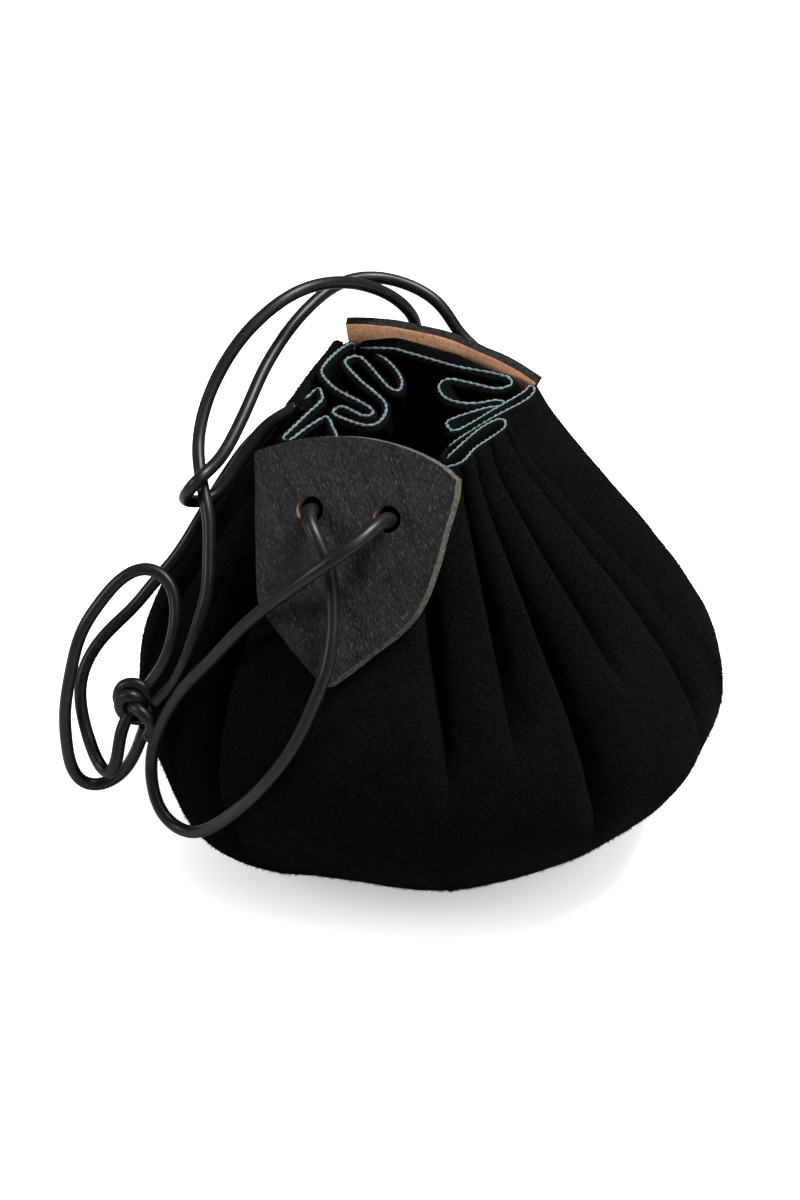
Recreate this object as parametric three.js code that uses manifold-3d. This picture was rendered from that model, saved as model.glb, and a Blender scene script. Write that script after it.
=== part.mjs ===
// Drawstring pouch: a gathered suede bag, two leather tabs and a round leather cord tied in a knot.
// Millimetres, +Z up. The origin lies on the floor under the middle of the bag, and the front tab faces -Y.
import * as THREE from "three";
import { mergeVertices } from "three/addons/utils/BufferGeometryUtils.js";
import Module from "manifold-3d";

const wasm = await Module();
wasm.setup();

// The bag: its wall, its widest radius, the points along each strand between two folds, and how a dent's
// deepest place is pushed up towards the mouth
const SUEDE = 2;
const BELLY_RADIUS = 94;
const STRAND_STEPS = 6;
const DENT_SKEW = 0.8;

// Where the bag lies behind a tab: the gap, how far past the tab's edge it stays flat, and the slope after
const SEAT = { gap: 0.75, margin: 18, ease: 0.6 };

// A tab's sizes: a shield with an arched top, bent round the bag. Its own origin is on its back face,
// midway between its top corners. "side" is how far down the sides run before they turn to the tip.
const TAB = {
  width: 65, arch: 8, side: 46, lowWidth: 50, length: 69, tipWidth: 4, thickness: 3.6, bend: 120,
};
const TAB_GRID = { columns: 12, sideRows: 6, pointRows: 4 };
const HOLE = { radius: 4.25, spacing: 24, drop: 15.5, sides: 16, drill: 15 };

// Where each tab sits: turn is the way it faces, lean is from upright and roll is in its own plane
const TAB_PLACES = {
  front_tab: { x: -6.5, y: -46, z: 152.5, turn: 5, lean: 32, roll: 0 },
  back_tab: { x: -8, y: 33, z: 155.5, turn: 175, lean: 32, roll: 11.5 },
};

// Sections of the bag's middle layer, floor to mouth. "out" is the share of the belly's radius and
// "gather" is how far the section has gone over from the round belly to the folded line of the mouth.
const SECTIONS = [
  { height: SUEDE / 2, out: 0.25, gather: 0 },
  { height: SUEDE / 2, out: 0.44, gather: 0 },
  { height: 7, out: 0.56, gather: 0 },
  { height: 16, out: 0.72, gather: 0 },
  { height: 27, out: 0.86, gather: 0 },
  { height: 39, out: 0.96, gather: 0 },
  { height: 51, out: 1, gather: 0 },
  { height: 66, out: 1, gather: 0.03 },
  { height: 82, out: 1, gather: 0.14 },
  { height: 97, out: 1, gather: 0.29 },
  { height: 111, out: 1, gather: 0.46 },
  { height: 124, out: 1, gather: 0.64 },
  { height: 136, out: 1, gather: 0.81 },
  { height: 145, out: 1, gather: 0.93 },
  { height: 152, out: 1, gather: 1 },
];

// Turning points of the folds, from the front round by the right, a valley and then its crest. x and y are
// where the fold meets the mouth's line and rise is its height there over the top section. turn is its
// direction on the belly in degrees from the front. loop is how round the fold turns at the mouth. A
// valley is also pressed in below the mouth: dent is how deep, and foot the height where that runs out.
const FOLDS = [
  { x: -24, y: -43, rise: 0, turn: -28, loop: 0.5, dent: 9, foot: 4 },
  { x: -6, y: -43, rise: 0, turn: 0, loop: 0.5, dent: 0, foot: 0 },
  { x: 12, y: -41, rise: 0, turn: 30, loop: 0.6, dent: 3, foot: 30 },
  { x: 25, y: -36, rise: 0, turn: 38, loop: 0.6, dent: 0, foot: 0 },
  { x: 17, y: -27, rise: -1, turn: 47, loop: 1, dent: 6, foot: 8 },
  { x: 24, y: 2, rise: -3, turn: 65, loop: 1, dent: 0, foot: 0 },
  { x: 8, y: -6, rise: -3, turn: 84, loop: 1, dent: 6, foot: 30 },
  { x: 24, y: 27, rise: -4, turn: 104, loop: 1, dent: 0, foot: 0 },
  { x: -4, y: 20, rise: -3, turn: 121, loop: 0.9, dent: 5, foot: 20 },
  { x: 17, y: 32, rise: -3, turn: 139, loop: 0.9, dent: 0, foot: 0 },
  { x: 2, y: 33, rise: -2, turn: 157, loop: 0.5, dent: 3, foot: 30 },
  { x: -12, y: 34, rise: 0, turn: 176, loop: 0.5, dent: 0, foot: 0 },
  { x: -25, y: 35, rise: 0, turn: 197, loop: 0.6, dent: 4, foot: 20 },
  { x: -37, y: 35, rise: 2, turn: 214, loop: 0.6, dent: 0, foot: 0 },
  { x: -14, y: 8, rise: 0, turn: 231, loop: 1.1, dent: 5, foot: 15 },
  { x: -40, y: 13, rise: 1, turn: 249, loop: 1.1, dent: 0, foot: 0 },
  { x: -14, y: -10, rise: 0, turn: 264, loop: 1.1, dent: 5, foot: 20 },
  { x: -39, y: -1, rise: 0, turn: 279, loop: 1.1, dent: 0, foot: 0 },
  { x: -24, y: -23, rise: 0, turn: 293, loop: 0.8, dent: 4, foot: 25 },
  { x: -38, y: -29, rise: 0, turn: 311, loop: 0.8, dent: 0, foot: 0 },
];

// The cord. Each route is a list of places that its middle line passes through.
const CORD = { diameter: 4, sides: 8, step: 12.5 };
const ROUTES = {
  front_cord: [
    [-17.6, -53.9, 138.4], [-17.5, -62.5, 142.5], [-12, -69.5, 139], [-6, -72.5, 130], [-4, -76, 122],
    [-2, -81, 114], [-2, -88, 103], [-5, -91, 93], [-10, -94, 80], [-20, -95, 64], [-32, -91, 49],
    [-44, -87, 37], [-52, -84, 33], [-60, -82, 36], [-65, -78, 44], [-66, -75, 54], [-63, -74, 64],
    [-55, -75, 79], [-44, -77, 93], [-30, -79, 111], [-12, -80, 129], [-3, -78, 137], [3, -72, 141],
    [6.5, -61.5, 143.5], [6, -51.9, 138.4],
  ],
  back_cord_left: [
    [-22.2, 40.3, 144.1], [-22.4, 48, 149.2], [-21.5, 47.5, 154.5], [-22.5, 44, 160.5], [-26.5, 40, 167],
    [-33, 34, 172.5], [-41, 19, 179], [-49, 6, 179], [-59, -9, 170], [-65, -22, 156], [-65, -33, 144],
    [-60, -43, 136], [-54, -51, 127], [-52, -57, 118], [-50, -63, 109], [-52, -68, 98], [-55, -71, 87],
    [-59, -71, 78], [-65.6, -71, 70.3],
  ],
  back_cord_right: [
    [1.4, 40.7, 140], [2.2, 49.5, 145], [-3, 52, 147.5], [-8.5, 51.5, 151.5], [-11, 50.5, 157],
    [-15, 50.5, 162.5], [-25, 50, 167.5], [-36, 47, 170], [-44, 37, 171], [-51, 20, 166], [-55, 0, 157], [-55, -20, 148], [-55, -40, 142],
    [-57, -52, 141], [-62, -51, 134], [-65, -42, 127], [-61, -34, 124], [-55, -23, 134], [-50, -15, 143],
    [-41.3, -10, 148.3],
  ],
  neck_cord: [
    [-38, 0.5, 141], [-45, 2.5, 140], [-52, 2, 137], [-58, -5, 132.5], [-62, -20, 125], [-66, -32, 115],
    [-72, -39, 103], [-77, -42, 97], [-83, -47, 88], [-90, -54, 81], [-94, -60, 74], [-95, -64, 68],
    [-94, -67, 62], [-90, -71, 53], [-85, -75, 46], [-80, -78, 43], [-77, -78, 48], [-76.5, -74, 61],
  ],
  end_loop: [
    [-71, -68, 58.8], [-76, -66, 46], [-81, -66, 37], [-87, -69, 33], [-92, -72, 34], [-95, -74, 41],
    [-96, -74, 50], [-96, -74, 62], [-94, -72, 76], [-91, -69, 90], [-86, -64, 99], [-80, -60, 107],
    [-73, -56, 110], [-65, -57, 106], [-62, -60, 101], [-61, -65, 93], [-63, -68, 84], [-69.5, -67.5, 73.4],
  ],
};

// The knot at the left: the cord wound round, with its middle, the radius of its turns and their pitch
const KNOT = { middle: new THREE.Vector3(-73, -70, 66), coil: 4.3, pitch: 4.7, turns: 2.25, steps: 22 };

const degrees = THREE.MathUtils.degToRad;
const mix = THREE.MathUtils.lerp;

function meshGeometry(vertices, index) {
  const geometry = new THREE.BufferGeometry().setFromPoints(vertices);
  geometry.setIndex(index);
  return geometry;
}

function toManifold(geometry) {
  geometry.deleteAttribute("normal");
  geometry.deleteAttribute("uv");
  const merged = mergeVertices(geometry, 1e-4);
  const vertProperties = Float32Array.from(merged.getAttribute("position").array);
  const triVerts = Uint32Array.from(merged.getIndex().array);
  return new wasm.Manifold(new wasm.Mesh({ numProp: 3, vertProperties, triVerts }));
}

function fromManifold(solid) {
  const { vertProperties, triVerts } = solid.getMesh();
  const geometry = new THREE.BufferGeometry();
  geometry.setAttribute("position", new THREE.Float32BufferAttribute(vertProperties, 3));
  geometry.setIndex(Array.from(triVerts));
  return geometry;
}

// A direction in plan, in degrees from the front round by the right
const facing = (turn) => new THREE.Vector3(Math.sin(degrees(turn)), -Math.cos(degrees(turn)), 0);

// One place between two turning points, on a curve that leaves each of them along its fold's round end
function mouthPoint(before, start, end, after, share) {
  const leave = end.mouth.clone().sub(before.mouth).multiplyScalar(start.loop);
  const arrive = after.mouth.clone().sub(start.mouth).multiplyScalar(end.loop);
  const s2 = share * share;
  const s3 = s2 * share;
  return new THREE.Vector3()
    .addScaledVector(start.mouth, 2 * s3 - 3 * s2 + 1)
    .addScaledVector(leave, s3 - 2 * s2 + share)
    .addScaledVector(end.mouth, 3 * s2 - 2 * s3)
    .addScaledVector(arrive, s3 - s2);
}

// How far a dent is pressed in at a height: nothing at its foot, most on the shoulder, little at the mouth
function dentDepth(point, height) {
  const mouthHeight = SECTIONS.at(-1).height;
  const rise = THREE.MathUtils.clamp((height - point.foot) / (mouthHeight - point.foot), 0, 1);
  return point.dent * Math.sin(Math.PI * rise ** DENT_SKEW);
}

// A tab's half width at a distance below its top corners
function tabHalfWidth(drop) {
  if (drop < TAB.side) return mix(TAB.width, TAB.lowWidth, drop / TAB.side) / 2;
  return mix(TAB.lowWidth, TAB.tipWidth, (drop - TAB.side) / (TAB.length - TAB.side)) / 2;
}

// A point of a tab's own sheet, bent about an upright axis behind it
function bentPoint(across, up, out) {
  const angle = across / TAB.bend;
  const radius = TAB.bend + out;
  return new THREE.Vector3(radius * Math.sin(angle), up, radius * Math.cos(angle) - TAB.bend);
}

// Distances down a tab at which its rows of points lie
function tabDrops() {
  const { sideRows, pointRows } = TAB_GRID;
  const side = Array.from({ length: sideRows }, (_, r) => (TAB.side * r) / sideRows);
  const pointed = Array.from({ length: pointRows + 1 }, (_, r) => mix(TAB.side, TAB.length, r / pointRows));
  return [...side, ...pointed];
}

// The closed shield of a tab, before its holes
function tabSheet() {
  const { columns } = TAB_GRID;
  const drops = tabDrops();
  const vertices = [];
  for (const out of [TAB.thickness, 0]) {
    for (const drop of drops) {
      for (let c = 0; c <= columns; c++) {
        const share = (2 * c) / columns - 1;
        const rise = TAB.arch * (1 - share * share) * (1 - drop / TAB.length);
        vertices.push(bentPoint(share * tabHalfWidth(drop), rise - drop, out));
      }
    }
  }
  const width = columns + 1;
  const rows = drops.length;
  const back = width * rows;
  const index = [];
  const quad = (a, b, c, d) => index.push(a, b, c, a, c, d);
  for (let r = 0; r < rows - 1; r++) {
    for (let c = 0; c < columns; c++) {
      const a = r * width + c;
      quad(a, a + width, a + width + 1, a + 1);
      quad(back + a, back + a + 1, back + a + width + 1, back + a + width);
    }
    const left = r * width;
    const right = left + columns;
    quad(left, back + left, back + left + width, left + width);
    quad(right, right + width, back + right + width, back + right);
  }
  for (let c = 0; c < columns; c++) {
    const low = (rows - 1) * width + c;
    quad(c, c + 1, back + c + 1, back + c);
    quad(low, back + low, back + low + 1, low + 1);
  }
  return meshGeometry(vertices, index);
}

// A tab with its two round cord holes
function tabGeometry() {
  let solid = toManifold(tabSheet());
  for (const side of [-1, 1]) {
    const across = (side * HOLE.spacing) / 2;
    const drill = new THREE.CylinderGeometry(HOLE.radius, HOLE.radius, HOLE.drill, HOLE.sides);
    const middle = bentPoint(across, -HOLE.drop, TAB.thickness / 2);
    drill.rotateX(Math.PI / 2).rotateY(across / TAB.bend).translate(middle.x, middle.y, middle.z);
    solid = solid.subtract(toManifold(drill));
  }
  return fromManifold(solid);
}

// A tab's place in the scene: its sheet stands up, leans back, and turns to face its side of the bag
function placedTab(name, material) {
  const { x, y, z, turn, lean, roll } = TAB_PLACES[name];
  const tab = piece(name, tabGeometry(), material);
  tab.rotation.set(degrees(90 - lean), 0, degrees(roll));
  const holder = new THREE.Group();
  holder.position.set(x, y, z);
  holder.rotation.z = degrees(turn);
  holder.add(tab);
  holder.updateMatrixWorld(true);
  return holder;
}

// Presses a point of the bag's middle layer back behind a tab, easing off round the tab's edge
function seatBehind(place, tab) {
  const local = tab.worldToLocal(place.clone());
  const across = TAB.bend * Math.atan2(local.x, local.z + TAB.bend);
  const out = Math.hypot(local.x, local.z + TAB.bend) - TAB.bend;
  const drop = THREE.MathUtils.clamp(-local.y, 0, TAB.length);
  const beside = Math.max(0, Math.abs(across) - tabHalfWidth(drop));
  const beyond = Math.max(0, local.y - TAB.arch, -TAB.length - local.y);
  const clear = Math.max(0, Math.hypot(beside, beyond) - SEAT.margin);
  const limit = -SUEDE / 2 - SEAT.gap + SEAT.ease * clear;
  if (out <= limit) return place;
  return tab.localToWorld(bentPoint(across, local.y, limit));
}

// The bag's middle layer as rows of points, one row for each section
function bagRows(tabs) {
  const points = FOLDS.map((fold) => ({ ...fold, mouth: new THREE.Vector3(fold.x, fold.y, fold.rise) }));
  const count = points.length;
  return SECTIONS.map(({ height, out, gather }) => {
    const row = [];
    for (let i = 0; i < count; i++) {
      const before = points[(i + count - 1) % count];
      const start = points[i];
      const end = points[(i + 1) % count];
      const after = points[(i + 2) % count];
      const endTurn = end.turn < start.turn ? end.turn + 360 : end.turn;
      for (let step = 0; step < STRAND_STEPS; step++) {
        const share = step / STRAND_STEPS;
        const outward = facing(mix(start.turn, endTurn, share));
        const dent = dentDepth(start, height) * (1 - share) ** 2 + dentDepth(end, height) * share ** 2;
        const place = outward.clone().multiplyScalar(BELLY_RADIUS * out - dent * out * (1 - gather));
        place.lerp(mouthPoint(before, start, end, after, share), gather);
        place.z += height;
        row.push(tabs.reduce(seatBehind, place));
      }
    }
    return row;
  });
}

// A wall of even thickness about rows of points that close round, with a flat bottom and an open top
function wallGeometry(rows, thickness) {
  const last = rows.length - 1;
  const columns = rows[0].length;
  const outside = [];
  const inside = [];
  rows.forEach((row, r) => {
    row.forEach((place, c) => {
      const along = row[(c + 1) % columns].clone().sub(row[(c + columns - 1) % columns]);
      const up = rows[Math.min(r + 1, last)][c].clone().sub(rows[Math.max(r - 1, 0)][c]);
      const flat = place.z <= thickness / 2;
      const normal = flat ? new THREE.Vector3(0, 0, -1) : along.cross(up).normalize();
      outside.push(place.clone().addScaledVector(normal, thickness / 2));
      inside.push(place.clone().addScaledVector(normal, -thickness / 2));
    });
  });
  const innerStart = outside.length;
  const vertices = [...outside, ...inside, new THREE.Vector3(0, 0, 0), new THREE.Vector3(0, 0, thickness)];
  const outerMiddle = 2 * innerStart;
  const innerMiddle = outerMiddle + 1;
  const index = [];
  const quad = (a, b, c, d) => index.push(a, b, c, a, c, d);
  for (let c = 0; c < columns; c++) {
    const next = (c + 1) % columns;
    for (let r = 0; r < last; r++) {
      const low = r * columns;
      const high = low + columns;
      quad(low + c, low + next, high + next, high + c);
      quad(innerStart + low + next, innerStart + low + c, innerStart + high + c, innerStart + high + next);
    }
    const rim = last * columns;
    quad(rim + c, rim + next, innerStart + rim + next, innerStart + rim + c);
    index.push(outerMiddle, next, c, innerMiddle, innerStart + c, innerStart + next);
  }
  return meshGeometry(vertices, index);
}

// A round cord along a curve, capped at both ends
function cordGeometry(curve, steps) {
  const section = new THREE.Shape().absarc(0, 0, CORD.diameter / 2, 0, 2 * Math.PI);
  const outline = new THREE.Shape(section.getSpacedPoints(CORD.sides).slice(0, CORD.sides));
  return new THREE.ExtrudeGeometry(outline, { steps, extrudePath: curve, curveSegments: 1 });
}

// A cord through the places of its route
function routeGeometry(route) {
  const places = route.map((place) => new THREE.Vector3(...place));
  const curve = new THREE.CatmullRomCurve3(places, false, "centripetal");
  return cordGeometry(curve, Math.ceil(curve.getLength() / CORD.step));
}

// The turns of the knot, as a curve
class KnotCurve extends THREE.Curve {
  getPoint(share, target = new THREE.Vector3()) {
    const angle = 2 * Math.PI * KNOT.turns * share;
    const rise = KNOT.pitch * KNOT.turns * (share - 0.5);
    target.set(KNOT.coil * Math.cos(angle), KNOT.coil * Math.sin(angle), rise);
    return target.add(KNOT.middle);
  }
}

function piece(name, geometry, material) {
  geometry.computeVertexNormals();
  const mesh = new THREE.Mesh(geometry, material);
  mesh.name = name;
  return mesh;
}

const suede = new THREE.MeshStandardMaterial({ color: 0x17171a, roughness: 0.95, metalness: 0 });
const grainLeather = new THREE.MeshStandardMaterial({ color: 0x24262a, roughness: 0.55, metalness: 0 });
const cordLeather = new THREE.MeshStandardMaterial({ color: 0x1c1d1f, roughness: 0.45, metalness: 0 });

const pouch = new THREE.Group();
const tabHolders = Object.keys(TAB_PLACES).map((name) => placedTab(name, grainLeather));
const tabs = tabHolders.map((holder) => holder.children[0]);
pouch.add(...tabHolders);
pouch.add(piece("pouch_body", wallGeometry(bagRows(tabs), SUEDE), suede));
for (const [name, route] of Object.entries(ROUTES)) {
  pouch.add(piece(name, routeGeometry(route), cordLeather));
}
pouch.add(piece("cord_knot", cordGeometry(new KnotCurve(), KNOT.steps), cordLeather));

export default pouch;
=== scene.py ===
"""Looks of a black suede drawstring pouch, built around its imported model.

Tables and size fields are in millimetres, and meshes are made in metres. The pouch stands on the floor at
the origin with its front tab towards -Y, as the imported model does.
"""

import logging
import math
from dataclasses import dataclass
from enum import Enum, IntEnum
from functools import cached_property
from typing import NamedTuple

import bmesh
import bpy
import numpy as np
from mathutils import Matrix, Vector, noise

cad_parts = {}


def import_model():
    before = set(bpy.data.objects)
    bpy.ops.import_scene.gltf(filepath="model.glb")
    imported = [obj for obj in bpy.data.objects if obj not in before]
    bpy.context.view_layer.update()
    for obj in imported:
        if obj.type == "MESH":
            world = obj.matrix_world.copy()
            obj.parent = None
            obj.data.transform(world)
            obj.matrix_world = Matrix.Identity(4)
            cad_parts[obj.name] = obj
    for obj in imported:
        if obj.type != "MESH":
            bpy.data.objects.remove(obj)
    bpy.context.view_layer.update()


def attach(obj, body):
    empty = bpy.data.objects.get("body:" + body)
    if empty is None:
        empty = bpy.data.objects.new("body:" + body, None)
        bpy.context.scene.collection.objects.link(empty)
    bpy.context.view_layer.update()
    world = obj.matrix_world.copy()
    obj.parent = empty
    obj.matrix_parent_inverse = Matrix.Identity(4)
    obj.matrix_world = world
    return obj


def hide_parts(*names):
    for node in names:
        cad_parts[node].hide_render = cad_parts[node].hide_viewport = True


MM = 0.001
BODY = "root"
# Name of the point attribute that paints shade into the suede: its crease valleys, its inside and the nap on
# them
PAINTED_SHADE = "painted_shade"
LOG = logging.getLogger("pouch")

Object = bpy.types.Object
Material = bpy.types.Material
Node = bpy.types.Node
NodeTree = bpy.types.NodeTree
Socket = bpy.types.NodeSocket
Points = np.ndarray
Colour = tuple[float, float, float]
Place = tuple[float, float, float]
Span = tuple[float, float]


class Slot(Enum):
    """The record's material slots."""

    SUEDE = "suede"
    TAB = "tab_leather"
    CORD = "cord_leather"


class TabFace(IntEnum):
    """Material slots of a tab's mesh."""

    GRAIN = 0
    FLESH = 1
    EDGE = 2
    HOLE = 3


class Side(IntEnum):
    """The two sides of a tab, seen from outside."""

    LEFT = -1
    RIGHT = 1


class Section(NamedTuple):
    """A level of the bag: its height, its share of the belly's radius and how far it is gathered."""

    height: float
    out: float
    gather: float


class RimPoint(NamedTuple):
    """A place on the mouth's folded line and the direction on the belly that its suede comes from."""

    turn: float
    x: float
    y: float
    z: float


class Crease(NamedTuple):
    """A valley beside the edge of a fold, from the mouth down to its foot.

    It starts at one direction at the mouth and drifts to another at the floor. One side is steep and rises
    to the fold's edge, and the other is long. Little light reaches the start of the long side, so shade is
    painted there, as far as shaded reaches.
    """

    turn: float
    low_turn: float
    foot: float
    depth: float
    before: float
    after: float
    shaded: float = 5.5

    @property
    def side(self) -> int:
        """The way to its long side, 1 or -1."""
        return 1 if self.before < self.after else -1

    @property
    def steep(self) -> float:
        """The width of its steep side."""
        return min(self.before, self.after)


class Press(NamedTuple):
    """A broad flat place on the belly: its direction and height, how far it reaches and its depth."""

    turn: float
    height: float
    across: float
    up: float
    depth: float


class TabPlace(NamedTuple):
    """Where a tab sits: the middle of its top corners, the way it faces, its lean and its roll."""

    x: float
    y: float
    z: float
    turn: float
    lean: float
    roll: float


class Lump(NamedTuple):
    """Smooth unevenness: its height, the size of its lumps and a number that moves the pattern."""

    height: float
    size: float
    seed: float


SECTIONS = [
    Section(*row)
    for row in (
        (1, 0.25, 0), (1, 0.44, 0), (7, 0.56, 0), (16, 0.72, 0), (27, 0.86, 0), (39, 0.96, 0), (51, 1, 0),
        (66, 1, 0.03), (82, 1, 0.14), (97, 1, 0.29), (111, 1, 0.46), (124, 1, 0.64), (136, 1, 0.81),
        (145, 1, 0.93), (152, 1, 1),
    )
]
TOP = SECTIONS[-1].height

# The mouth's line, from the front round by the right: long flat loops, one inside the other at the left
MOUTH = [
    RimPoint(*row)
    for row in (
        (-25, -21.5, -37, 149.5), (-16, -17, -43, 150.5), (0, -6, -43.5, 151), (25, 12, -41.5, 151),
        (38, 21, -35, 151), (52, 22.5, -23.5, 151), (72, 25, -10, 150), (84, 25.5, -4, 149.5),
        (87, 24, 0, 149.5), (88, 21.5, -0.5, 149.5), (89, 18.5, -9, 149.5), (90.5, 15, -23.5, 148),
        (91, 14, -27, 147), (91.5, 12, -24, 147), (92.2, 12.5, -17.5, 147.5), (94, 18, 0.5, 148),
        (98, 25, 17, 148.5), (104, 26, 24, 149), (106.5, 23.5, 27.5, 149), (108, 23, 21.5, 149),
        (112, 17.5, 5, 149), (115, 14, -6, 149), (116, 11.5, -11, 149), (117, 9, -9.5, 149),
        (118, 7.5, -5, 149), (121, 14, 8, 148), (122.5, 18, 13, 147.5), (123.5, 19, 15.5, 147.5),
        (124.5, 16.5, 14.5, 148.5), (126, 12, 9.5, 149), (127.5, 6.5, 8, 149), (129, 1, 10, 149),
        (131, -3, 15.5, 149), (133, -3.5, 20.5, 149), (134, -1.5, 23, 149), (136, 5, 22.5, 149),
        (140, 14, 21.5, 149), (142, 18, 24.5, 149.5), (145, 16, 29, 149.5), (148, 11.5, 29.5, 150),
        (163, -2, 29.5, 151), (177, -14, 31.5, 151.5), (195, -30, 34.5, 152), (200, -34.5, 36, 152.5),
        (202.5, -36.5, 35, 151), (204, -32.5, 33.5, 149), (205, -27, 31, 148.5), (206, -21, 25.5, 148),
        (207, -16.5, 18.5, 148), (207.6, -14.5, 11, 148.5), (208, -16.5, 8, 150), (208.6, -21, 11.5, 151),
        (209.4, -30.5, 21, 152), (209.8, -33.5, 22.5, 152), (210.2, -35.5, 20.5, 152),
        (210.6, -35, 16.5, 152), (211.6, -27.5, 8, 152), (212.8, -15.5, -2.5, 151.5),
        (213.2, -12.5, -6.5, 151), (213.6, -11.5, -11, 150.5), (214, -11.5, -16, 150.5),
        (214.4, -14.5, -19.5, 150.5), (215, -24, -15.5, 149.5), (215.4, -28.5, -11.5, 149),
        (215.8, -26.5, -9, 150), (216.4, -20.5, -13, 151), (216.8, -17, -15.5, 151.5),
        (217.2, -14.8, -14, 151.5), (217.6, -15.5, -11, 151.5), (218.2, -19.5, -8.5, 152),
        (219.2, -30.5, -3, 152.5), (220.4, -38, 4.5, 152.5), (221, -40.2, 9.5, 152.5),
        (222, -40.5, 17, 152.5), (223.4, -39.8, 25, 152.5), (224.6, -38.5, 31.5, 152.5),
        (225.6, -38.8, 36, 153.5), (228, -42, 39.5, 156), (234, -46, 38, 151.5), (248, -47.5, 26, 147.5),
        (264, -48, 13, 146), (280, -47, 2, 145.5), (294, -45.5, -7, 145), (301, -43, -11.5, 145.5),
        (306, -40.5, -4, 148), (309, -38, 0.5, 150), (311, -35.5, -3, 150), (313, -34, -7, 150),
        (317, -35.5, -17, 149), (321, -37, -27, 148), (323, -37.5, -31, 147.5), (324.5, -35, -31, 147.5),
        (326, -33, -23.5, 148), (327.5, -29.7, -16, 149), (328.5, -27.5, -17, 149), (330, -25, -21, 149),
        (332, -21, -28, 149),
    )
]

CREASES = [
    Crease(*row)
    for row in (
        (-31, -22, 4, 13, 26, 4, 15), (-43, -42, 76, 8, 12, 4, 7), (-56, -60, 56, 9, 14, 5, 7),
        (21, 25, 60, 14, 5, 18, 9), (38, 34, 68, 12, 3.5, 14, 7), (48, 56, 30, 15, 3.5, 20, 7.5),
        (61, 73, 78, 13, 3.5, 20, 7), (79, 89, 40, 16, 4, 24, 7.5), (91, 108, 74, 5, 4, 16),
        (122, 128, 40, 5, 6, 20), (140, 146, 60, 4, 6, 18), (158, 162, 30, 10, 5, 22),
        (180, 180, 64, 8, 14, 4), (199, 196, 34, 10, 20, 5), (216, 214, 62, 8, 16, 4),
        (234, 230, 30, 11, 20, 5), (252, 248, 64, 8, 16, 4), (268, 265, 34, 10, 18, 5),
        (287, 283, 62, 8, 18, 4),
    )
]

PRESSES = [
    Press(*row)
    for row in (
        (80, 26, 24, 22, 2), (58, 40, 7, 14, 2.5), (0, 16, 14, 16, 2.5), (44, 14, 12, 16, 2),
        (-42, 9, 17, 18, -22), (110, 30, 18, 18, -3.5), (150, 24, 20, 22, 3), (215, 26, 22, 22, 3.5),
    )
]

TAB_PLACES = {
    "front_tab": TabPlace(-6.5, -46, 152.5, 5, 32, 0),
    "back_tab": TabPlace(-8, 33, 155.5, 175, 32, 11.5),
}

ROUTES = {
    "front_cord": (
        (-17.6, -53.9, 138.4), (-17.5, -62.5, 142.5), (-12, -69.5, 139), (-6, -72.5, 130), (-4, -76, 122),
        (-2, -81, 114), (-2, -88, 103), (-5, -91, 93), (-10, -94, 80), (-20, -95, 64), (-32, -91, 49),
        (-44, -87, 37), (-52, -84, 33), (-60, -82, 36), (-65, -78, 44), (-66, -75, 54), (-63, -74, 64),
        (-55, -75, 79), (-44, -77, 93), (-30, -79, 111), (-12, -80, 129), (-3, -78, 137), (3, -72, 141),
        (6.5, -61.5, 143.5), (6, -51.9, 138.4),
    ),
    "back_cord_left": (
        (-22.2, 40.3, 144.1), (-22.4, 48, 149.2), (-21.5, 47.5, 154.5), (-22.5, 44, 160.5),
        (-26.5, 40, 167), (-33, 34, 172.5), (-41, 19, 179), (-49, 6, 179), (-59, -9, 170), (-65, -22, 156),
        (-65, -33, 144), (-60, -43, 136), (-54, -51, 127), (-52, -57, 118), (-50, -63, 109), (-52, -68, 98),
        (-55, -71, 87), (-59, -71, 78), (-65.6, -71, 70.3),
    ),
    "back_cord_right": (
        (1.4, 40.7, 140), (2.2, 49.5, 145), (-3, 52, 147.5), (-8.5, 51.5, 151.5), (-11, 50.5, 157),
        (-15, 50.5, 162.5), (-25, 50, 167.5), (-36, 47, 170), (-44, 37, 171), (-51, 20, 166), (-55, 0, 157),
        (-55, -20, 148), (-55, -40, 142), (-57, -52, 141), (-62, -51, 134), (-65, -42, 127),
        (-61, -34, 124), (-55, -23, 134), (-50, -15, 143), (-41.3, -10, 148.3),
    ),
    "neck_cord": (
        (-38, 0.5, 141), (-45, 2.5, 140), (-52, 2, 137), (-58, -5, 132.5), (-62, -20, 125), (-66, -32, 115),
        (-72, -39, 103), (-77, -42, 97), (-83, -47, 88), (-90, -54, 81), (-94, -60, 74), (-95, -64, 68),
        (-94, -67, 62), (-90, -71, 53), (-85, -75, 46), (-80, -78, 43), (-77, -78, 48), (-76.5, -74, 61),
        (-74.5, -71.5, 65),
    ),
    "end_loop": (
        (-71, -68, 58.8), (-76, -66, 46), (-81, -66, 37), (-87, -69, 33), (-92, -72, 34), (-95, -74, 41),
        (-96, -74, 50), (-96, -74, 62), (-94, -72, 76), (-91, -69, 90), (-86, -64, 99), (-80, -60, 107),
        (-73, -56, 110), (-65, -57, 106), (-62, -60, 101), (-61, -65, 93), (-63, -68, 84),
        (-69.5, -67.5, 73.4),
    ),
}

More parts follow.
